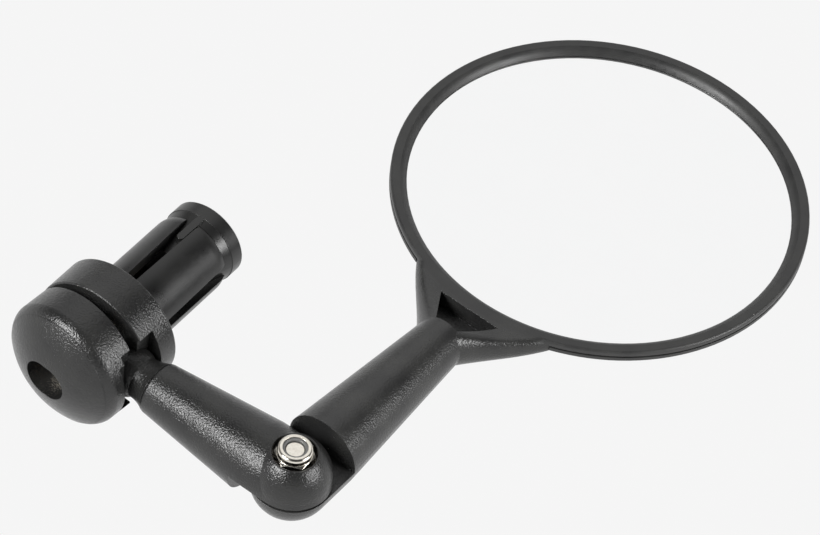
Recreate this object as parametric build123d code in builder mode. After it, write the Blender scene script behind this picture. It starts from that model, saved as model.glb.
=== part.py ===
from build123d import *
from math import cos, radians, sin, sqrt, tan
import os

# Bar-end bicycle mirror, in millimetres.
# The origin is on the plug's axis, in the plane where the clamp housing meets the end of the bar.
# +Y runs along the plug into the bar, +X towards the arm, +Z along the folding hinge.

# ---- Clamp: two round halves that grip the arm's ball
HOUSING_R = 12.65
REAR_DEPTH = 7.7            # the rear half runs from y = 0 to here
HOUSING_EDGE = 0.35         # rounding of the rear half's rims
CAP_R = 12.6
CAP_FACE_Y = -9.5           # where the cap's inner face crosses the plug's axis
CAP_TILT = 4.3              # the cap stands open towards the arm by this angle
CAP_WALL = 5.6              # straight part of the cap's side
CAP_SHOULDER = 7.5          # depth at which the side's rounding ends
CAP_SHOULDER_R = 11.6
DOME_R = 11.5
DOME_BASE = 7.65
DOME_TOP = 11.55
WINDOW_LOW, WINDOW_HIGH = -6.2, 7.6     # the arm's window, in z
WINDOW_REAR_Y = -4.3        # floor of the window in the rear half
WINDOW_CAP_DEPTH = 3.64     # depth of the window in the cap
WINDOW_REACH = 2.0          # how far the window's cutter stands out of the housing
LAND_OUT_R, LAND_IN_R = 12.4, 11.0      # low land on the rear half that the cap rocks on
LAND_HALF = 5.2
LAND_HEIGHT = 0.8
KEEPER_X = -10.1            # tongue on the rear half that keeps the halves in line
KEEPER_SIZE = (1.6, 8.0)
KEEPER_HEIGHT = 2.5
KEEPER_POCKET = (2.8, 8.6)
KEEPER_POCKET_DEPTH = 1.9

# ---- Key slot and clamp bolt (M4)
KEY_SLOT = (8.6, 7.3)
KEY_SHIFT = 0.05            # the slot stands this much nearer the arm than the cap's axis
CAP_BORE = (6.4, 4.8)       # slotted bore for the bolt
ROCKER_R = 40.0             # crown of the slot's floor, under the washer
ROCKER_Y = -11.44
PLATE_Y = -11.5             # inner face of the rocker plate
PLATE_T = 1.15
PLATE_SIZE = (7.9, 6.9)
PLATE_CLEARANCE = 0.2
BOLT_R = 2.0
BOLT_LENGTH = 35.0
BOLT_HEAD_R = 3.5
BOLT_HEAD_H = 2.8           # low head
BOLT_KEY_AF = 2.5
BOLT_HOLE_R = 2.3
BOLT_SEAT_Y = -12.7
BOLT_KEY_DEPTH = 1.7

# ---- Plug: slotted sleeve and its wedge
SLEEVE_R = 7.94
SLEEVE_WALL_R = 5.9         # inner radius of the fingers
SLEEVE_BASE_Y = 3.0         # the solid base runs up to here
SLEEVE_ROOT = 2.5           # depth of the sleeve's root in the housing
SLEEVE_ROOT_R = 7.4
SLEEVE_ROOT_FLAT = 6.6      # half the distance across the root's two flats
SLEEVE_TIP_Y = 20.7
SLEEVE_TIP_R = 7.58
SLOT_COUNT = 4
SLOT_TURN = 3.7             # angle of the first slot, from +X towards +Z
SLOT_ROOT_W, SLOT_TIP_W = 2.1, 2.9
WEDGE_TIP_Y = 25.65         # outer end of the plug
WEDGE_RIM_Y = 22.65
WEDGE_RIM_R = 7.85
WEDGE_CONE_R = 7.75
WEDGE_ANGLE = 14.0
WEDGE_ROOT_Y = 13.5
WEDGE_GAP = 0.06            # running gap between wedge and fingers
KEY_COUNT = 2
KEY_TURN = 89.9
KEY_W = 1.4
KEY_ROOT_Y = 15.8
NUT_SEAT_Y = 17.5
WEDGE_NUT_AF = 7.0
WEDGE_NUT_H = 3.2
NUT_POCKET_AF = 7.2
KEY_INNER_R = 4.5

# ---- Ball and arm
BALL = (9.5, -8.6, 0)
BALL_R = 4.65
SEAT_R = 4.73
NECK_R = 4.0
FLARE_T = 5.87              # distance from the ball's centre to the end of the flare
FLARE_R = 4.95
ARM_ANGLE = 1.0             # the arm leans this much from +X towards -Y
HINGE_REACH = 36.27         # ball centre to hinge axis
ARM_GAP = 0.05
ARM_END_R = 5.08
ARM_R = 7.4
ARM_TAPER_T = 29.5          # the taper ends here
STEP = 8.55                 # the cut-away half ends this far from the hinge axis
SPIGOT_R = 3.0
SPIGOT_END = 15.0
BEAD_R = 3.35

# ---- Hinge (M4)
TONGUE_R = 7.5
HINGE_GAP = 0.4
PIN_R = 2.0
PIN_HOLE_R = 2.06
BOSS_TOP_R = 4.4            # flat top of the boss around the nut's recess
BOSS_Z = 7.15
RECESS_R = 4.05
RECESS_Z = 3.2
LOCK_NUT_AF = 6.5
LOCK_NUT_Z = 4.18
LOCK_NUT_HEX = 3.0
LOCK_NUT_TOP = 8.7
COLLAR_R = 3.17
COLLAR_LIP_R = 2.25         # the collar's rim is rolled in to here
PIN_HEAD_AF = 7.0
PIN_HEAD_Z = -3.5
PIN_HEAD_H = 2.8
PIN_TOP = 8.05
PIN_POCKET_AF = 7.15
THREAD_GAP = 0.02           # gap between a plain screw and a plain thread
WASHER_BORE_R = 2.12
FRICTION_WASHER_R = 5.5
FLAT_WASHER_R = 4.0
FLAT_WASHER_Z, FLAT_WASHER_T = 3.76, 0.4
INSERT_R = 2.8              # nylon ring in the nut's collar
INSERT_LIP_R = 1.8          # the screw has not cut through the ring's outer end
INSERT_TOP = 8.4

# ---- Mirror head
STEM_ANGLE = 2.02           # the stem leans this much from +Y towards +X
STEM_R, STEM_END_R = 7.4, 4.9
STEM_END = 43.5
RING_REACH = 92.2           # hinge axis to the centre of the mirror
RING_R = 40.0
RING_FACE = 1.5
RING_CHAMFERS = ((0, 0.5), (0.04, 0.3), (0.15, 0.15), (0.3, 0.04), (0.5, 0))   # (in, down) from the ring's corner
SEAM_Z = 0.4                # the open seam under the ring runs from here down to z = 0
LIP_R = 36.75
LIP_TOP_R = 38.15
LIP_EDGE_Z = 0.15
SKIRT_R, SKIRT_IN_R = 38.8, 38.1
SKIRT_Z = -0.75
GLASS_R = 37.9
GLASS_T = 1.8
GLASS_CURVE = 600.0
GLASS_EDGE_Z = -0.1
COVER_T = 1.1
COVER_BACK_Z = -6.5
PAD_R = 33.0
FIT = 0.15

arm_dir = (cos(radians(ARM_ANGLE)), -sin(radians(ARM_ANGLE)), 0)
HINGE = (BALL[0] + HINGE_REACH * arm_dir[0], BALL[1] + HINGE_REACH * arm_dir[1], 0)
ARM_PLANE = Plane(origin=BALL, x_dir=arm_dir, z_dir=(0, 0, 1))
ARM_AXIS = Axis(BALL, arm_dir)

stem_dir = (sin(radians(STEM_ANGLE)), cos(radians(STEM_ANGLE)), 0)
stem_side = (cos(radians(STEM_ANGLE)), -sin(radians(STEM_ANGLE)), 0)
HEAD_PLANE = Plane(origin=HINGE, x_dir=stem_side, z_dir=(0, 0, 1))
RING_CENTRE = tuple(h + RING_REACH * s for h, s in zip(HINGE, stem_dir))
RING_PROFILE = Plane(origin=RING_CENTRE, x_dir=stem_side, z_dir=tuple(-s for s in stem_dir))
RING_AXIS = Axis(RING_CENTRE, (0, 0, 1))

HINGE_PROFILE = Plane(origin=HINGE, x_dir=(1, 0, 0), z_dir=(0, -1, 0))
HINGE_AXIS = Axis(HINGE, (0, 0, 1))

cap_dir = (sin(radians(CAP_TILT)), cos(radians(CAP_TILT)), 0)
cap_side = (cos(radians(CAP_TILT)), -sin(radians(CAP_TILT)), 0)
CAP_ORIGIN = (0, CAP_FACE_Y, 0)
CAP_PLANE = Plane(origin=CAP_ORIGIN, x_dir=cap_side, z_dir=(0, 0, 1))
CAP_FACE = Plane(origin=CAP_ORIGIN, x_dir=cap_side, z_dir=tuple(-c for c in cap_dir))
CAP_AXIS = Axis(CAP_ORIGIN, cap_dir)

os.makedirs("parts", exist_ok=True)


def save(piece, label):
    """Label a finished piece and write it out."""
    piece.part.label = label
    export_step(piece.part, f"parts/{label}.step")


def wedge_radius(y):
    """Radius of the wedge's cone at a distance y along the plug."""
    return WEDGE_CONE_R - (WEDGE_RIM_Y - y) * tan(radians(WEDGE_ANGLE))


def crown(radius, edge_z, top_z):
    """Three points of an arc centred on the mirror's axis, from the crown out to the edge."""
    rise = abs(top_z - edge_z)
    curve = (radius**2 + rise**2) / (2 * rise)
    half_drop = curve - sqrt(curve**2 - (radius / 2) ** 2)
    if edge_z > top_z:
        half_drop = -half_drop
    return (0, top_z), (radius / 2, top_z - half_drop), (radius, edge_z)


# ---- Rear half of the clamp housing
with BuildPart() as rear_housing:
    with BuildSketch(Plane.XZ):
        Circle(HOUSING_R)
    extrude(amount=REAR_DEPTH)
    fillet(rear_housing.edges().filter_by(GeomType.CIRCLE), HOUSING_EDGE)
    with BuildSketch(Plane.XZ.offset(REAR_DEPTH)):
        Circle(LAND_OUT_R)
        Circle(LAND_IN_R, mode=Mode.SUBTRACT)
        with Locations((-HOUSING_R, 0)):
            Rectangle(HOUSING_R, 2 * LAND_HALF, mode=Mode.INTERSECT)
    extrude(amount=LAND_HEIGHT)
    with BuildSketch(Plane.XZ.offset(REAR_DEPTH)):
        with Locations((KEEPER_X, 0)):
            Rectangle(*KEEPER_SIZE)
    extrude(amount=KEEPER_HEIGHT)
    with Locations(BALL):
        Sphere(SEAT_R, mode=Mode.SUBTRACT)
    window_mid = (WINDOW_LOW + WINDOW_HIGH) / 2
    window_size = WINDOW_HIGH - WINDOW_LOW
    window_out = HOUSING_R + WINDOW_REACH
    with BuildSketch(Plane.XZ.offset(-WINDOW_REAR_Y)):
        with Locations(((BALL[0] + window_out) / 2, window_mid)):
            Rectangle(window_out - BALL[0], window_size)
    extrude(amount=REAR_DEPTH, mode=Mode.SUBTRACT)
    with BuildSketch(Plane.XZ):
        Circle(SLEEVE_ROOT_R + ARM_GAP)
        Rectangle(3 * SLEEVE_R, 2 * (SLEEVE_ROOT_FLAT + ARM_GAP), mode=Mode.INTERSECT)
    extrude(amount=SLEEVE_ROOT, mode=Mode.SUBTRACT)
    with BuildSketch(Plane.XZ):
        Circle(BOLT_HOLE_R)
    extrude(amount=REAR_DEPTH, mode=Mode.SUBTRACT)
save(rear_housing, "rear_housing")

# ---- Slotted sleeve that fills the bar
with BuildPart() as expander_sleeve:
    mouth_r = wedge_radius(SLEEVE_TIP_Y) + WEDGE_GAP
    mouth_end_y = SLEEVE_TIP_Y - (mouth_r - SLEEVE_WALL_R) / tan(radians(WEDGE_ANGLE))
    tip_start_y = SLEEVE_TIP_Y - 1.8
    tip_mid = (SLEEVE_R - 0.09, SLEEVE_TIP_Y - 0.85)
    with BuildSketch(Plane.XY):
        with BuildLine():
            Polyline(
                (BOLT_HOLE_R, -SLEEVE_ROOT),
                (SLEEVE_ROOT_R, -SLEEVE_ROOT),
                (SLEEVE_ROOT_R, 0),
                (SLEEVE_R, 0),
                (SLEEVE_R, tip_start_y),
            )
            ThreePointArc((SLEEVE_R, tip_start_y), tip_mid, (SLEEVE_TIP_R, SLEEVE_TIP_Y))
            Polyline(
                (SLEEVE_TIP_R, SLEEVE_TIP_Y),
                (mouth_r, SLEEVE_TIP_Y),
                (SLEEVE_WALL_R, mouth_end_y),
                (SLEEVE_WALL_R, SLEEVE_BASE_Y),
                (BOLT_HOLE_R, SLEEVE_BASE_Y),
                (BOLT_HOLE_R, -SLEEVE_ROOT),
            )
        make_face()
    revolve(axis=Axis.Y)
    with BuildSketch(Plane.XZ):
        Circle(SLEEVE_R + 1)
        Rectangle(3 * SLEEVE_R, 2 * SLEEVE_ROOT_FLAT, mode=Mode.SUBTRACT)
    extrude(amount=SLEEVE_ROOT, mode=Mode.SUBTRACT)
    slot_inner_r = SLEEVE_WALL_R - 1.0
    for step in range(SLOT_COUNT):
        turn = radians(SLOT_TURN + step * 360 / SLOT_COUNT)
        outward = (cos(turn), 0, sin(turn))
        across = (-sin(turn), 0, cos(turn))
        with BuildSketch(Plane(origin=tuple(slot_inner_r * c for c in outward), x_dir=across, z_dir=outward)):
            with BuildLine():
                Polyline(
                    (-SLOT_ROOT_W / 2, 0),
                    (SLOT_ROOT_W / 2, 0),
                    (SLOT_TIP_W / 2, -SLEEVE_TIP_Y - 0.5),
                    (-SLOT_TIP_W / 2, -SLEEVE_TIP_Y - 0.5),
                    close=True,
                )
            make_face()
        extrude(amount=SLEEVE_R, mode=Mode.SUBTRACT)
save(expander_sleeve, "expander_sleeve")

# ---- Wedge that spreads the sleeve
with BuildPart() as expander_cone:
    with BuildSketch(Plane.XY):
        with BuildLine():
            Polyline(
                (0, WEDGE_ROOT_Y),
                (wedge_radius(WEDGE_ROOT_Y), WEDGE_ROOT_Y),
                (WEDGE_CONE_R, WEDGE_RIM_Y),
                (WEDGE_RIM_R, WEDGE_RIM_Y),
                (WEDGE_RIM_R, WEDGE_TIP_Y),
                (0, WEDGE_TIP_Y),
                close=True,
            )
        make_face()
    revolve(axis=Axis.Y)
    chamfer(expander_cone.edges().group_by(Axis.Y)[-1], 0.3)
    for step in range(KEY_COUNT):
        turn = radians(KEY_TURN + step * 360 / KEY_COUNT)
        outward = (cos(turn), 0, sin(turn))
        across = (-sin(turn), 0, cos(turn))
        key_length = WEDGE_RIM_Y - KEY_ROOT_Y + KEY_W / 2
        key_mid_y = KEY_ROOT_Y + key_length / 2
        key_foot = (KEY_INNER_R * outward[0], key_mid_y, KEY_INNER_R * outward[2])
        with BuildSketch(Plane(origin=key_foot, x_dir=(0, 1, 0), z_dir=outward)):
            SlotOverall(key_length, KEY_W)
        extrude(amount=WEDGE_RIM_R - 0.03 - KEY_INNER_R)
    with BuildSketch(Plane.XZ.offset(-WEDGE_TIP_Y)):
        RegularPolygon(radius=NUT_POCKET_AF / 2, side_count=6, major_radius=False)
    extrude(amount=WEDGE_TIP_Y - NUT_SEAT_Y, mode=Mode.SUBTRACT)
    with BuildSketch(Plane.XZ.offset(-WEDGE_TIP_Y)):
        Circle(BOLT_HOLE_R)
    extrude(amount=WEDGE_TIP_Y - WEDGE_ROOT_Y, mode=Mode.SUBTRACT)
save(expander_cone, "expander_cone")

# ---- Nut in the wedge
with BuildPart() as cone_nut:
    with BuildSketch(Plane.XZ.offset(-NUT_SEAT_Y - WEDGE_NUT_H)):
        RegularPolygon(radius=WEDGE_NUT_AF / 2, side_count=6, major_radius=False)
        Circle(BOLT_R + ARM_GAP, mode=Mode.SUBTRACT)
    extrude(amount=WEDGE_NUT_H)
save(cone_nut, "cone_nut")

# ---- Cutter for the key slot: the slot's outline down to a crowned floor
with BuildPart() as key_cutter:
    key_origin = tuple(o + KEY_SHIFT * s for o, s in zip(CAP_ORIGIN, cap_side))
    with BuildSketch(Plane(origin=key_origin, x_dir=cap_side, z_dir=CAP_FACE.z_dir)):
        SlotOverall(*KEY_SLOT)
    extrude(amount=DOME_TOP + 2)
    with Locations((0, ROCKER_Y + ROCKER_R, 0)):
        Cylinder(ROCKER_R, 30, mode=Mode.SUBTRACT)

# ---- Domed cap, the outer half of the clamp housing
with BuildPart() as front_cap:
    dome_rise = DOME_TOP - DOME_BASE
    dome_curve = (DOME_R**2 + dome_rise**2) / (2 * dome_rise)
    dome_mid_r = DOME_R / 2
    dome_mid = dome_curve - sqrt(dome_curve**2 - dome_mid_r**2) - DOME_TOP
    shoulder_mid = (CAP_R - 0.22, -(CAP_WALL + 0.78))
    with BuildSketch(CAP_PLANE):
        with BuildLine():
            Polyline((0, 0), (CAP_R - 0.2, 0), (CAP_R, -0.2), (CAP_R, -CAP_WALL))
            ThreePointArc((CAP_R, -CAP_WALL), shoulder_mid, (CAP_SHOULDER_R, -CAP_SHOULDER))
            Polyline((CAP_SHOULDER_R, -CAP_SHOULDER), (DOME_R, -CAP_SHOULDER), (DOME_R, -DOME_BASE))
            ThreePointArc((DOME_R, -DOME_BASE), (dome_mid_r, dome_mid), (0, -DOME_TOP))
            Line((0, -DOME_TOP), (0, 0))
        make_face()
    revolve(axis=CAP_AXIS)
    add(key_cutter.part, mode=Mode.SUBTRACT)
    with BuildSketch(CAP_FACE):
        with Locations((KEY_SHIFT, 0)):
            SlotOverall(*CAP_BORE)
    extrude(amount=CAP_WALL, mode=Mode.SUBTRACT)
    with Locations(BALL):
        Sphere(SEAT_R, mode=Mode.SUBTRACT)
    seat_edge, seat_relief = 11.0, 2.5
    with BuildSketch(CAP_FACE.offset(-1)):
        with Locations(((seat_edge + window_out) / 2, window_mid)):
            Rectangle(window_out - seat_edge, window_size)
    extrude(amount=WINDOW_CAP_DEPTH + 1, mode=Mode.SUBTRACT)
    with BuildSketch(CAP_FACE.offset(-1)):
        with Locations(((BALL[0] + seat_edge) / 2, window_mid)):
            Rectangle(seat_edge - BALL[0] + 0.01, window_size)
    extrude(amount=seat_relief + 1, mode=Mode.SUBTRACT)
    with BuildSketch(CAP_FACE):
        with Locations((KEEPER_X, 0)):
            Rectangle(*KEEPER_POCKET)
    extrude(amount=KEEPER_POCKET_DEPTH, mode=Mode.SUBTRACT)
save(front_cap, "front_cap")

# ---- Rocker plate under the bolt's head
with BuildPart() as clamp_washer:
    with BuildSketch(Plane.XZ.offset(-PLATE_Y)):
        SlotOverall(*PLATE_SIZE)
        Circle(BOLT_R + PLATE_CLEARANCE, mode=Mode.SUBTRACT)
    extrude(amount=PLATE_T)
save(clamp_washer, "clamp_washer")

# ---- Clamp bolt
with BuildPart() as clamp_bolt:
    with BuildSketch(Plane.XZ.offset(-BOLT_SEAT_Y)):
        Circle(BOLT_HEAD_R)
    extrude(amount=BOLT_HEAD_H)
    chamfer(clamp_bolt.edges().group_by(Axis.Y)[0], 0.35)
    with BuildSketch(Plane.XZ.offset(-BOLT_SEAT_Y)):
        Circle(BOLT_R)
    extrude(amount=-BOLT_LENGTH)
    chamfer(clamp_bolt.edges().group_by(Axis.Y)[-1], 0.5)
    with BuildSketch(Plane.XZ.offset(-BOLT_SEAT_Y + BOLT_HEAD_H)):
        RegularPolygon(radius=BOLT_KEY_AF / 2, side_count=6, major_radius=False)
    extrude(amount=-BOLT_KEY_DEPTH, mode=Mode.SUBTRACT)
save(clamp_bolt, "clamp_bolt")

# ---- Ball, neck and the spigot that the arm turns on
with BuildPart() as ball_stud:
    neck_t = sqrt(BALL_R**2 - NECK_R**2)
    flare_mid = ((neck_t + FLARE_T) / 2 + 0.2, NECK_R + 0.3)
    with BuildSketch(ARM_PLANE):
        with BuildLine():
            ThreePointArc((-BALL_R, 0), (0, BALL_R), (neck_t, NECK_R))
            ThreePointArc((neck_t, NECK_R), flare_mid, (FLARE_T, FLARE_R))
            Polyline(
                (FLARE_T, FLARE_R),
                (FLARE_T, SPIGOT_R),
                (SPIGOT_END - 2.2, SPIGOT_R),
                (SPIGOT_END - 1.7, BEAD_R),
                (SPIGOT_END - 1.1, SPIGOT_R),
                (SPIGOT_END, SPIGOT_R - 0.4),
                (SPIGOT_END, 0),
                (-BALL_R, 0),
            )
        make_face()
    revolve(axis=ARM_AXIS)
save(ball_stud, "ball_stud")

# ---- Arm: tapered round bar whose upper half is the hinge's upper tongue
with BuildPart() as arm:
    arm_start = FLARE_T + ARM_GAP
    dome_middle = (HINGE_REACH + ARM_R * sin(radians(45)), ARM_R * cos(radians(45)))
    with BuildSketch(ARM_PLANE):
        with BuildLine():
            Polyline(
                (arm_start, 0),
                (arm_start, ARM_END_R - 0.35),
                (arm_start + 0.1, ARM_END_R - 0.1),
                (arm_start + 0.35, ARM_END_R),
                (ARM_TAPER_T, ARM_R),
                (HINGE_REACH, ARM_R),
            )
            ThreePointArc((HINGE_REACH, ARM_R), dome_middle, (HINGE_REACH + ARM_R, 0))
            Line((HINGE_REACH + ARM_R, 0), (arm_start, 0))
        make_face()
    revolve(axis=ARM_AXIS)
    with BuildSketch(ARM_PLANE.offset(HINGE_GAP / 2)):
        with Locations((HINGE_REACH - STEP + ARM_R + 5, 0)):
            Rectangle(2 * (ARM_R + 5), 3 * ARM_R)
    extrude(amount=-2 * ARM_R, mode=Mode.SUBTRACT)
    with BuildSketch(ARM_PLANE):
        with BuildLine():
            Polyline(
                (0, 0),
                (0, SPIGOT_R + ARM_GAP),
                (SPIGOT_END - 2.3, SPIGOT_R + ARM_GAP),
                (SPIGOT_END - 1.8, BEAD_R + 0.1),
                (SPIGOT_END - 1.0, BEAD_R + 0.1),
                (SPIGOT_END - 0.5, SPIGOT_R + ARM_GAP),
                (SPIGOT_END + 0.5, SPIGOT_R + ARM_GAP),
                (SPIGOT_END + 0.5, 0),
                close=True,
            )
        make_face()
    revolve(axis=ARM_AXIS, mode=Mode.SUBTRACT)
    with BuildSketch(HINGE_PROFILE):
        with BuildLine():
            Polyline((0, BOSS_Z), (0, HINGE_GAP / 2), (ARM_R - 0.1, HINGE_GAP / 2), (ARM_R - 0.1, 0.8))
            ThreePointArc((ARM_R - 0.1, 0.8), (6.55, 4.3), (BOSS_TOP_R, BOSS_Z))
            Line((BOSS_TOP_R, BOSS_Z), (0, BOSS_Z))
        make_face()
    revolve(axis=HINGE_AXIS)
    with BuildSketch(HEAD_PLANE.offset(RECESS_Z)):
        Circle(RECESS_R)
    extrude(amount=2 * ARM_R, mode=Mode.SUBTRACT)
    with BuildSketch(HEAD_PLANE):
        Circle(PIN_HOLE_R)
    extrude(amount=2 * ARM_R, mode=Mode.SUBTRACT)
save(arm, "arm")

# ---- Hinge hardware
with BuildPart() as hinge_friction_washer:
    with BuildSketch(HEAD_PLANE.offset(THREAD_GAP - HINGE_GAP / 2)):
        Circle(FRICTION_WASHER_R)
        Circle(WASHER_BORE_R, mode=Mode.SUBTRACT)
    extrude(amount=HINGE_GAP - THREAD_GAP)
save(hinge_friction_washer, "hinge_friction_washer")

with BuildPart() as hinge_spring_washer:
    with BuildSketch(HINGE_PROFILE):
        with BuildLine():
            Polyline((2.15, 3.52), (2.15, 3.74), (4.0, 3.44), (4.0, 3.22), close=True)
        make_face()
    revolve(axis=HINGE_AXIS)
save(hinge_spring_washer, "hinge_spring_washer")

with BuildPart() as hinge_nut_washer:
    with BuildSketch(HEAD_PLANE.offset(FLAT_WASHER_Z)):
        Circle(FLAT_WASHER_R)
        Circle(WASHER_BORE_R, mode=Mode.SUBTRACT)
    extrude(amount=FLAT_WASHER_T)
save(hinge_nut_washer, "hinge_nut_washer")

with BuildPart() as hinge_bolt:
    with BuildSketch(HEAD_PLANE.offset(PIN_HEAD_Z)):
        RegularPolygon(radius=PIN_HEAD_AF / 2, side_count=6, major_radius=False)
    extrude(amount=-PIN_HEAD_H)
    with BuildSketch(HEAD_PLANE.offset(PIN_HEAD_Z)):
        Circle(PIN_R)
    extrude(amount=PIN_TOP - PIN_HEAD_Z)
    chamfer(hinge_bolt.edges().group_by(Axis.Z)[-1], 0.4)
save(hinge_bolt, "hinge_bolt")

with BuildPart() as hinge_nut:
    nut_corner_r = LOCK_NUT_AF / sqrt(3)
    hex_top = LOCK_NUT_Z + LOCK_NUT_HEX
    with BuildSketch(HEAD_PLANE.offset(LOCK_NUT_Z)):
        RegularPolygon(radius=LOCK_NUT_AF / 2, side_count=6, rotation=30, major_radius=False)
    extrude(amount=LOCK_NUT_HEX)
    with BuildSketch(HINGE_PROFILE):
        with BuildLine():
            Polyline(
                (0, LOCK_NUT_Z),
                (nut_corner_r - 0.3, LOCK_NUT_Z),
                (nut_corner_r, LOCK_NUT_Z + 0.2),
                (nut_corner_r, hex_top - 0.3),
                (COLLAR_R + 0.02, hex_top),
                (0, hex_top),
                close=True,
            )
        make_face()
    revolve(axis=HINGE_AXIS, mode=Mode.INTERSECT)
    with BuildSketch(HEAD_PLANE.offset(hex_top - 0.2)):
        Circle(COLLAR_R)
    extrude(amount=LOCK_NUT_TOP - hex_top + 0.2)
    fillet(hinge_nut.edges().group_by(Axis.Z)[-1], 0.6)
    with BuildSketch(HINGE_PROFILE):
        with BuildLine():
            Polyline(
                (0, 0),
                (PIN_R + THREAD_GAP, 0),
                (PIN_R + THREAD_GAP, hex_top - 0.2),
                (INSERT_R, hex_top - 0.2),
                (INSERT_R, LOCK_NUT_TOP - 0.3),
                (COLLAR_LIP_R, LOCK_NUT_TOP - 0.15),
                (COLLAR_LIP_R, LOCK_NUT_TOP + 1),
                (0, LOCK_NUT_TOP + 1),
                close=True,
            )
        make_face()
    revolve(axis=HINGE_AXIS, mode=Mode.SUBTRACT)
save(hinge_nut, "hinge_nut")

with BuildPart() as nut_insert:
    with BuildSketch(HINGE_PROFILE):
        with BuildLine():
            Polyline(
                (PIN_R + THREAD_GAP, hex_top - 0.2),
                (INSERT_R, hex_top - 0.2),
                (INSERT_R, LOCK_NUT_TOP - 0.35),
                (COLLAR_LIP_R, INSERT_TOP),
                (INSERT_LIP_R, INSERT_TOP),
                (INSERT_LIP_R, PIN_TOP + THREAD_GAP),
                (PIN_R + THREAD_GAP, PIN_TOP + THREAD_GAP),
                close=True,
            )
        make_face()
    revolve(axis=HINGE_AXIS)
save(nut_insert, "nut_insert")

# ---- Fork between stem and ring, as (distance along the stem, half width, underside, top)
FORK_SECTIONS = [
    (42.0, 5.0, -4.8, 4.7),
    (45.4, 7.5, -4.1, 3.2),
    (50.9, 12.1, -2.9, 1.75),
    (55.6, 15.5, -2.2, RING_FACE),
    (59.0, 17.1, -2.0, RING_FACE),
]


def fork_shape(grow):
    """The fork's outer form, grown all round by a clearance."""
    with BuildPart() as fork:
        for along, half_width, low, high in FORK_SECTIONS:
            middle = tuple(h + along * s for h, s in zip(HINGE, stem_dir))
            centre = (middle[0], middle[1], (low + high) / 2)
            with BuildSketch(Plane(origin=centre, x_dir=stem_side, z_dir=stem_dir)):
                SlotOverall(2 * (half_width + grow), high - low + 2 * grow)
        loft()
    return fork.part


# ---- Mirror housing: lower hinge tongue, stem, fork and ring in one moulding
with BuildPart() as mirror_housing:
    with BuildSketch(HEAD_PLANE):
        with BuildLine():
            Polyline(
                (0, 0), (TONGUE_R, 0), (STEM_R, STEP), (STEM_END_R, STEM_END), (0, STEM_END), close=True
            )
        make_face()
    revolve(axis=Axis(HINGE, stem_dir))
    with Locations(HINGE):
        Sphere(TONGUE_R)
    with BuildSketch(HEAD_PLANE.offset(-HINGE_GAP / 2)):
        with Locations((0, STEP - TONGUE_R - 5)):
            Rectangle(3 * TONGUE_R, 2 * (TONGUE_R + 5))
    extrude(amount=2 * TONGUE_R, mode=Mode.SUBTRACT)
    with BuildSketch(RING_PROFILE):
        with BuildLine():
            Polyline(
                (36.5, 0),
                (SKIRT_IN_R, 0),
                (SKIRT_IN_R, SKIRT_Z),
                (SKIRT_R, SKIRT_Z),
                (SKIRT_R, SEAM_Z),
                (RING_R, SEAM_Z),
                *[(RING_R - inset, RING_FACE - drop) for inset, drop in RING_CHAMFERS],
                (36.5, RING_FACE),
                close=True,
            )
        make_face()
    revolve(axis=RING_AXIS)
    add(fork_shape(0))
    lip_mid = ((LIP_R + LIP_TOP_R) / 2 - 0.12, (LIP_EDGE_Z + RING_FACE) / 2 + 0.12)
    with BuildSketch(RING_PROFILE):
        with BuildLine():
            Polyline((0, -12), (SKIRT_IN_R, -12), (SKIRT_IN_R, 0), (LIP_R, 0), (LIP_R, LIP_EDGE_Z))
            ThreePointArc((LIP_R, LIP_EDGE_Z), lip_mid, (LIP_TOP_R, RING_FACE))
            Polyline((LIP_TOP_R, RING_FACE), (LIP_TOP_R, 6), (0, 6), (0, -12))
        make_face()
    revolve(axis=RING_AXIS, mode=Mode.SUBTRACT)
    with BuildSketch(HEAD_PLANE.offset(-2.2)):
        with BuildLine():
            Polyline((-2.33, 43.7), (2.33, 43.7), (6.55, 51.1), (-6.55, 51.1), close=True)
        make_face()
    extrude(amount=12, mode=Mode.SUBTRACT)
    with BuildSketch(HEAD_PLANE.offset(PIN_HEAD_Z)):
        RegularPolygon(radius=PIN_POCKET_AF / 2, side_count=6, major_radius=False)
    extrude(amount=-2 * TONGUE_R, mode=Mode.SUBTRACT)
    with BuildSketch(HEAD_PLANE):
        Circle(PIN_R + 0.05)
    extrude(amount=-2 * TONGUE_R, mode=Mode.SUBTRACT)
save(mirror_housing, "mirror_housing")

# ---- Convex mirror glass
with BuildPart() as mirror_glass:
    glass_sag = GLASS_CURVE - sqrt(GLASS_CURVE**2 - GLASS_R**2)
    crown_z = GLASS_EDGE_Z + glass_sag
    front = crown(GLASS_R, GLASS_EDGE_Z, crown_z)
    back = crown(GLASS_R, GLASS_EDGE_Z - GLASS_T, crown_z - GLASS_T)
    with BuildSketch(RING_PROFILE):
        with BuildLine():
            ThreePointArc(*front)
            Line(front[-1], back[-1])
            ThreePointArc(*back)
            Line(back[0], front[0])
        make_face()
    revolve(axis=RING_AXIS)
save(mirror_glass, "mirror_glass")

# ---- What the fork takes from the back cover's rim
with BuildPart() as fork_clearance:
    add(fork_shape(FIT))
    with BuildSketch(RING_PROFILE):
        with Locations(((SKIRT_IN_R - FIT) / 2, 0)):
            Rectangle(SKIRT_IN_R - FIT, 30)
    revolve(axis=RING_AXIS, mode=Mode.SUBTRACT)

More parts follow.
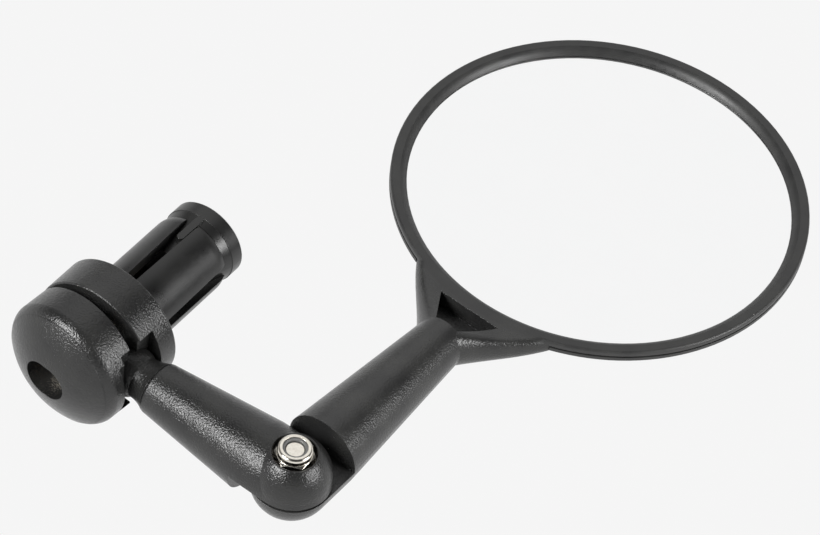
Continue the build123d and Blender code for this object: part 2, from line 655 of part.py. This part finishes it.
# ---- Back cover
with BuildPart() as back_cover:
    cover_outer = crown(30.9, -6.0, COVER_BACK_Z)
    cover_inner = crown(30.6, -4.9, COVER_BACK_Z + COVER_T)
    with BuildSketch(RING_PROFILE):
        with BuildLine():
            Polyline((RING_R - COVER_T, 0), (RING_R, 0), (RING_R, SKIRT_Z), (38.0, -3.0))
            ThreePointArc((38.0, -3.0), (35.1, -5.05), cover_outer[-1])
            ThreePointArc(*cover_outer)
            Line(cover_outer[0], cover_inner[0])
            ThreePointArc(*cover_inner)
            ThreePointArc(cover_inner[-1], (34.7, -4.0), (37.6, -2.35))
            Polyline((37.6, -2.35), (38.75, -1.3), (RING_R - COVER_T, 0))
        make_face()
    revolve(axis=RING_AXIS)
    add(fork_clearance.part, mode=Mode.SUBTRACT)
save(back_cover, "back_cover")

# ---- Foam pad between cover and glass
with BuildPart() as glass_pad:
    pad_edge_sag = GLASS_CURVE - sqrt(GLASS_CURVE**2 - PAD_R**2)
    pad_top = crown_z - GLASS_T - 0.02
    pad_front = crown(PAD_R, pad_top - pad_edge_sag, pad_top)
    pad_back = crown(30.0, -4.8, COVER_BACK_Z + COVER_T + 0.03)
    with BuildSketch(RING_PROFILE):
        with BuildLine():
            ThreePointArc(*pad_front)
            Polyline(pad_front[-1], (PAD_R, -4.0), pad_back[-1])
            ThreePointArc(*pad_back)
            Line(pad_back[0], pad_front[0])
        make_face()
    revolve(axis=RING_AXIS)
save(glass_pad, "glass_pad")
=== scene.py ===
from math import cos, radians, sin

import bpy
from mathutils import Matrix, Vector


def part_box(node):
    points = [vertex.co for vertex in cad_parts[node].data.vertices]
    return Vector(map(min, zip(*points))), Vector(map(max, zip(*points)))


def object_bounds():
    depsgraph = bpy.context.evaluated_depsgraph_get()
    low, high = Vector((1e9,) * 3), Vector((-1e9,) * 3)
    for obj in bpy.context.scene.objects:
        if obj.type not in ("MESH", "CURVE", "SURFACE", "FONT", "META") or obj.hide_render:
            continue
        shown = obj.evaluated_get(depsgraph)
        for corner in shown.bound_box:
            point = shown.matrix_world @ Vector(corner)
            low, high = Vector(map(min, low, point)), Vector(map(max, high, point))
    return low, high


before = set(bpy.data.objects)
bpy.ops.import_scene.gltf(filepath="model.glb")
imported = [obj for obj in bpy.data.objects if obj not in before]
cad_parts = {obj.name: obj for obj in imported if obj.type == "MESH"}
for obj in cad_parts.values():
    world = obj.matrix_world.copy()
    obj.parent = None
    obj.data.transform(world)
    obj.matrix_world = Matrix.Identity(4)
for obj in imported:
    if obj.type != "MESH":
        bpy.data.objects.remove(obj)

cad_low, cad_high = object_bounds()

MM = 0.001


# ---------------------------------------------------------------- camera
CAMERA_AZIMUTH, CAMERA_ELEVATION, CAMERA_ROLL = 29.266, 48.295, 9.148
CAMERA_DISTANCE = 0.67251
CAMERA_TARGET = Vector((0.032555, 0.044219, 0.0))
CAMERA_LENS = 160.03
SENSOR_WIDTH = 36.0
CLIP_START, CLIP_END = 0.01, 10.0


def make_camera():
    """Camera at the viewing angle, given by azimuth, elevation and roll about its target."""
    azimuth, elevation, roll = (radians(v) for v in (CAMERA_AZIMUTH, CAMERA_ELEVATION, CAMERA_ROLL))
    back = Vector((sin(azimuth) * cos(elevation), -cos(azimuth) * cos(elevation), sin(elevation)))
    level = Vector((cos(azimuth), sin(azimuth), 0))
    rise = back.cross(level)
    right = cos(roll) * level + sin(roll) * rise
    up = cos(roll) * rise - sin(roll) * level
    data = bpy.data.cameras.new("camera")
    data.sensor_width = SENSOR_WIDTH
    data.lens = CAMERA_LENS
    data.clip_start = CLIP_START
    data.clip_end = CLIP_END
    camera = bpy.data.objects.new("camera", data)
    turn = Matrix((right, up, back)).transposed().to_4x4()
    camera.matrix_world = Matrix.Translation(CAMERA_TARGET + back * CAMERA_DISTANCE) @ turn
    bpy.context.collection.objects.link(camera)
    bpy.context.scene.camera = camera


make_camera()


# ---------------------------------------------------------------- node trees
MIX_SHARE, MIX_FIRST, MIX_SECOND, MIX_RESULT = 0, 6, 7, 2   # colour sockets of the Mix node
BEVEL_SAMPLES = 6


class Tree:
    """Clears one node tree, then adds nodes to it and links them."""

    def __init__(self, tree):
        self.tree = tree
        self.tree.nodes.clear()

    def add(self, kind, **inputs):
        """New node with its named inputs set."""
        node = self.tree.nodes.new(kind)
        for key, value in inputs.items():
            node.inputs[key.replace("_", " ")].default_value = value
        return node

    def link(self, out, into):
        """Link an output socket to an input socket."""
        self.tree.links.new(out, into)

    def feed(self, socket, value):
        """Link another node's output to a socket, or set the socket to a fixed value."""
        if isinstance(value, bpy.types.NodeSocket):
            self.link(value, socket)
        else:
            socket.default_value = value

    def spread(self, value, low, high, to_low=0.0, to_high=1.0):
        """Map a value from one range to another, clamped."""
        node = self.add("ShaderNodeMapRange", From_Min=low, From_Max=high, To_Min=to_low, To_Max=to_high)
        self.link(value, node.inputs["Value"])
        return node.outputs["Result"]

    def math(self, operation, first, second):
        """Sum, product or the like of two numbers."""
        node = self.add("ShaderNodeMath")
        node.operation = operation
        self.feed(node.inputs[0], first)
        self.feed(node.inputs[1], second)
        return node.outputs["Value"]

    def vectors(self, operation, first, second):
        """Node for the product, distance or the like of two vectors."""
        node = self.add("ShaderNodeVectorMath")
        node.operation = operation
        self.feed(node.inputs[0], first)
        self.feed(node.inputs[1], second)
        return node


class Surface(Tree):
    """Node tree of a new material with one shader."""

    def __init__(self, name):
        self.material = bpy.data.materials.new(name)
        self.material.use_nodes = True
        super().__init__(self.material.node_tree)
        self.shader = self.add("ShaderNodeBsdfPrincipled")
        output = self.add("ShaderNodeOutputMaterial")
        self.link(self.shader.outputs["BSDF"], output.inputs["Surface"])
        self.where = self.add("ShaderNodeTexCoord").outputs["Object"]

    def shade(self, **inputs):
        """Set or link the shader's named inputs."""
        for key, value in inputs.items():
            self.feed(self.shader.inputs[key.replace("_", " ")], value)

    def noise(self, size_mm, detail=2.0, rough=0.5):
        """Noise whose features are about size_mm across."""
        node = self.add("ShaderNodeTexNoise", Scale=1.0 / (size_mm * MM), Detail=detail, Roughness=rough)
        self.link(self.where, node.inputs["Vector"])
        return node.outputs["Fac"]

    def cells(self, size_mm):
        """Irregular cells about size_mm across."""
        node = self.add("ShaderNodeTexVoronoi", Scale=1.0 / (size_mm * MM), Randomness=1.0)
        self.link(self.where, node.inputs["Vector"])
        return node

    def blend(self, share, first, second):
        """Colour between two colours by a share. A fixed colour is three numbers."""
        node = self.add("ShaderNodeMix")
        node.data_type = "RGBA"
        self.link(share, node.inputs[MIX_SHARE])
        for place, colour in ((MIX_FIRST, first), (MIX_SECOND, second)):
            fixed = isinstance(colour, tuple)
            self.feed(node.inputs[place], (*colour, 1) if fixed else colour)
        return node.outputs[MIX_RESULT]

    def bump(self, height, depth_mm, under=None):
        """Normals of a relief depth_mm deep, on top of the normals under it."""
        node = self.add("ShaderNodeBump", Strength=1.0, Distance=depth_mm * MM)
        self.link(height, node.inputs["Height"])
        if under is not None:
            self.link(under, node.inputs["Normal"])
        return node.outputs["Normal"]

    def rounded(self, radius_mm):
        """Normals that soften sharp edges."""
        node = self.add("ShaderNodeBevel", Radius=radius_mm * MM)
        node.samples = BEVEL_SAMPLES
        return node.outputs["Normal"]


# ---------------------------------------------------------------- studio
FLOOR_DROP = 0.03
FLOOR_SIZE = 6.0
PALE = (0.915, 0.915, 0.915, 1.0)
SKY_DARK = 0.055                        # brightness overhead
LOW_SKY = (0.45, 0.10)                  # heights where the sky starts to turn pale and is pale
MIRROR_SEES = (-0.325, 0.567, 0.757)    # direction the mirror reflects towards the camera
MIRROR_PATCH = (0.80, 0.95)             # cosines of the angle off it where the patch starts and is pale
LIGHT_AIM = (0.03, 0.02, 0.0)
LIGHT_SIZE = 0.30
LIGHTS = {                              # place, and power in watts
    "front_softbox": ((-0.20, -0.46, 0.42), 5.6),
    "right_softbox": ((0.64, 0.16, 0.28), 3.4),
}


def make_floor():
    """Plain pale floor that glows evenly, like a light table."""
    mesh = bpy.data.meshes.new("floor")
    half = FLOOR_SIZE / 2
    level = cad_low.z - FLOOR_DROP
    corners = [(-half, -half, level), (half, -half, level), (half, half, level), (-half, half, level)]
    mesh.from_pydata(corners, [], [(0, 1, 2, 3)])
    floor = bpy.data.objects.new("floor", mesh)
    bpy.context.collection.objects.link(floor)
    material = bpy.data.materials.new("floor")
    material.use_nodes = True
    tree = Tree(material.node_tree)
    glow = tree.add("ShaderNodeEmission", Color=PALE, Strength=1.0)
    output = tree.add("ShaderNodeOutputMaterial")
    tree.link(glow.outputs["Emission"], output.inputs["Surface"])
    mesh.materials.append(material)


def make_world():
    """Pale low surroundings and a pale patch that the mirror reflects; dark overhead."""
    world = bpy.data.worlds.new("studio")
    world.use_nodes = True
    sky = Tree(world.node_tree)
    direction = sky.add("ShaderNodeTexCoord").outputs["Generated"]
    towards = sky.vectors("DOT_PRODUCT", direction, MIRROR_SEES).outputs["Value"]
    split = sky.add("ShaderNodeSeparateXYZ")
    sky.link(direction, split.inputs["Vector"])
    patch = sky.spread(towards, *MIRROR_PATCH)
    low = sky.spread(split.outputs["Z"], *LOW_SKY)
    level = sky.spread(sky.math("MAXIMUM", patch, low), 0.0, 1.0, SKY_DARK, PALE[0])
    background = sky.add("ShaderNodeBackground", Strength=1.0)
    sky.link(level, background.inputs["Color"])
    output = sky.add("ShaderNodeOutputWorld")
    sky.link(background.outputs["Background"], output.inputs["Surface"])
    bpy.context.scene.world = world


def make_light(name, place, power):
    """Square soft light aimed at the object."""
    data = bpy.data.lights.new(name, "AREA")
    data.shape = "SQUARE"
    data.size = LIGHT_SIZE
    data.energy = power
    light = bpy.data.objects.new(name, data)
    light.location = place
    light.rotation_mode = "QUATERNION"
    light.rotation_quaternion = (Vector(LIGHT_AIM) - Vector(place)).to_track_quat("-Z", "Y")
    bpy.context.collection.objects.link(light)


make_floor()
make_world()
for light_name, (light_place, light_power) in LIGHTS.items():
    make_light(light_name, light_place, light_power)
bpy.context.scene.view_settings.view_transform = "Standard"


# ---------------------------------------------------------------- plastics
NOISE_SPAN = (0.3, 0.7)         # most of a noise's values lie between these
CLOUD_MM = 6.0                  # handling marks
CLOUD_SPAN = (0.35, 0.7)        # noise values where the colour starts to turn and is turned
DARK_TONE = (0.8, 0.8, 0.8)     # shares of the tone in the darker and the lighter clouds
LIGHT_TONE = (1.25, 1.25, 1.2)
CLOUD_GLOSS = 0.05              # change of roughness either way, in the clouds and in finer specks
SPECK_GLOSS = 0.03
SPECK_MM = 0.9
WAVE_MM, WAVE_DEPTH_MM = 3.5, 0.004
DUST_MM = 1.1                   # cells that may each hold one speck of dust
DUST_RIM = (0.05, 0.09)         # distances, in cells, where a speck starts to fade and is gone
DUST_COLOUR = (0.42, 0.41, 0.38)
DUST_STEP = 0.001               # narrow step between a clean and a dusty cell
GRAIN_FROM, GRAIN_FULL = 0.2, 1.2   # mm outside the mirror's ring where the grain starts and is full
FLAT = (1.0, 1.0, 0.0)


def dusted(surface, colour, clean):
    """Colour with pale specks of dust. A share of the cells is clean."""
    cells = surface.cells(DUST_MM)
    speck = surface.spread(cells.outputs["Distance"], *DUST_RIM, 1.0, 0.0)
    lot = surface.add("ShaderNodeSeparateColor")
    surface.link(cells.outputs["Color"], lot.inputs["Color"])
    dusty = surface.spread(lot.outputs["Red"], clean, clean + DUST_STEP)
    return surface.blend(surface.math("MULTIPLY", speck, dusty), colour, DUST_COLOUR)


def outside_ring(surface):
    """0 on the mirror's ring, rising to 1 just outside it."""
    glass_low, glass_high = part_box("mirror_glass")
    centre = (glass_low + glass_high) / 2
    cover_low, cover_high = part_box("back_cover")
    radius = (cover_high.x - cover_low.x) / 2
    flat = surface.vectors("MULTIPLY", surface.where, FLAT).outputs["Vector"]
    reach = surface.vectors("DISTANCE", flat, (centre.x, centre.y, 0.0)).outputs["Value"]
    return surface.spread(reach, radius + GRAIN_FROM * MM, radius + GRAIN_FULL * MM)


def plastic(name, tone, grain_mm, depth_mm, roughness, edge_mm=0.2, clean=0.985, satin_ring=None):
    """Moulded plastic with a grain, faint handling marks and a little dust.

    Given a roughness for satin_ring, the grain stops at the mirror's ring, which is smooth and satin.
    """
    surface = Surface(name)
    cloud = surface.noise(CLOUD_MM, detail=3.0, rough=0.55)
    dark, light = (tuple(tone * share for share in shares) for shares in (DARK_TONE, LIGHT_TONE))
    colour = surface.blend(surface.spread(cloud, *CLOUD_SPAN), dark, light)
    smear = surface.spread(cloud, *NOISE_SPAN, -CLOUD_GLOSS, CLOUD_GLOSS)
    fine = surface.noise(SPECK_MM, detail=3.0, rough=0.6)
    specks = surface.spread(fine, *NOISE_SPAN, -SPECK_GLOSS, SPECK_GLOSS)
    rough = surface.math("ADD", surface.math("ADD", smear, specks), roughness)
    grain = surface.noise(grain_mm)
    if satin_ring is not None:
        outside = outside_ring(surface)
        on_ring = surface.math("SUBTRACT", 1.0, outside)
        rough = surface.math("ADD", rough, surface.math("MULTIPLY", on_ring, satin_ring - roughness))
        grain = surface.math("MULTIPLY", grain, outside)
    waves = surface.bump(surface.noise(WAVE_MM, detail=1.0), WAVE_DEPTH_MM, surface.rounded(edge_mm))
    surface.shade(
        Base_Color=dusted(surface, colour, clean),
        Roughness=rough,
        Normal=surface.bump(grain, depth_mm, waves),
    )
    return surface.material


# ---------------------------------------------------------------- metals and glass
PATCH_MM = 0.8                  # duller patches in the plating
PATCH_SPAN = (0.4, 0.7)         # noise values where a patch starts and is dull
PATCH_GLOSS = (-0.06, 0.1)      # change of roughness outside and in a patch
METAL_EDGE_MM = 0.15
SMEAR_MM = 9.0
SMEAR_SPAN = (0.4, 0.75)
SMEAR_ROUGHNESS = 0.02
GLASS_COLOUR, SMEAR_COLOUR = (1.0, 1.0, 1.0), (0.985, 0.988, 0.99)


def metal(name, colour, dull, roughness, mark_mm=0.12, mark_depth_mm=0.006):
    """Plated steel with small marks and duller patches."""
    surface = Surface(name)
    patches = surface.noise(PATCH_MM, detail=4.0, rough=0.6)
    bright, worn = (roughness + change for change in PATCH_GLOSS)
    surface.shade(
        Base_Color=surface.blend(surface.spread(patches, *PATCH_SPAN), colour, dull),
        Metallic=1.0,
        Roughness=surface.spread(patches, *NOISE_SPAN, bright, worn),
        Normal=surface.bump(surface.noise(mark_mm), mark_depth_mm, surface.rounded(METAL_EDGE_MM)),
    )
    return surface.material


def silvered(name):
    """Mirror with the faintest smears."""
    surface = Surface(name)
    smear = surface.noise(SMEAR_MM, detail=4.0, rough=0.6)
    surface.shade(
        Base_Color=surface.blend(smear, GLASS_COLOUR, SMEAR_COLOUR),
        Metallic=1.0,
        Roughness=surface.spread(smear, *SMEAR_SPAN, 0.0, SMEAR_ROUGHNESS),
    )
    return surface.material


# ---------------------------------------------------------------- foam
FOAM_CELL_MM, FOAM_DEPTH_MM = 0.6, 0.15
FOAM_WALL = 0.7                 # distance from a cell's middle where its wall is
FOAM_ROUGHNESS = 0.9
# the darker colour is painted shade in each cell's pit; the lighter one is the foam on the cell walls
FOAM_PAINTED_PIT_SHADE, FOAM_LIGHT = (0.05, 0.05, 0.052), (0.09, 0.09, 0.092)


def foam(name):
    """Closed-cell foam, with painted shade darkening the pit of each cell."""
    surface = Surface(name)
    distance = surface.cells(FOAM_CELL_MM).outputs["Distance"]
    surface.shade(
        # painted shade: the colour darkens towards each cell's middle, where the bump sinks into a pit
        Base_Color=surface.blend(surface.spread(distance, 0.0, FOAM_WALL), FOAM_PAINTED_PIT_SHADE, FOAM_LIGHT),
        Roughness=FOAM_ROUGHNESS,
        Normal=surface.bump(distance, FOAM_DEPTH_MM),
    )
    return surface.material


# ---------------------------------------------------------------- finishes
eroded = plastic("eroded_plastic", tone=0.017, grain_mm=0.33, depth_mm=0.115, roughness=0.21)
moulded = plastic(
    "moulded_plastic", tone=0.025, grain_mm=0.32, depth_mm=0.08, roughness=0.24, edge_mm=0.15, satin_ring=0.42
)
smooth = plastic(
    "smooth_plastic", tone=0.012, grain_mm=0.35, depth_mm=0.004, roughness=0.32, edge_mm=0.15, clean=0.992
)
steel = metal(
    "zinc_steel", (0.95, 0.88, 0.76), (0.84, 0.75, 0.62), roughness=0.24, mark_mm=0.5, mark_depth_mm=0.14
)
nickel = metal("nickel_steel", (0.88, 0.84, 0.76), (0.80, 0.75, 0.67), roughness=0.14)
silver = silvered("silvered_glass")
nylon = plastic("nylon", tone=0.16, grain_mm=0.5, depth_mm=0.008, roughness=0.40, edge_mm=0.1)
padding = foam("foam")

FINISH = {
    "rear_housing": eroded, "front_cap": eroded, "ball_stud": eroded, "arm": eroded,
    "mirror_housing": moulded, "back_cover": moulded,
    "expander_sleeve": smooth, "expander_cone": smooth,
    "clamp_bolt": steel, "clamp_washer": steel, "cone_nut": steel,
    "hinge_bolt": nickel, "hinge_nut": nickel, "hinge_nut_washer": nickel, "hinge_spring_washer": nickel,
    "nut_insert": nylon, "hinge_friction_washer": nylon, "mirror_glass": silver, "glass_pad": padding,
}
for node, material in FINISH.items():
    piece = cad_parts[node]
    piece.data.materials.clear()
    piece.data.materials.append(material)
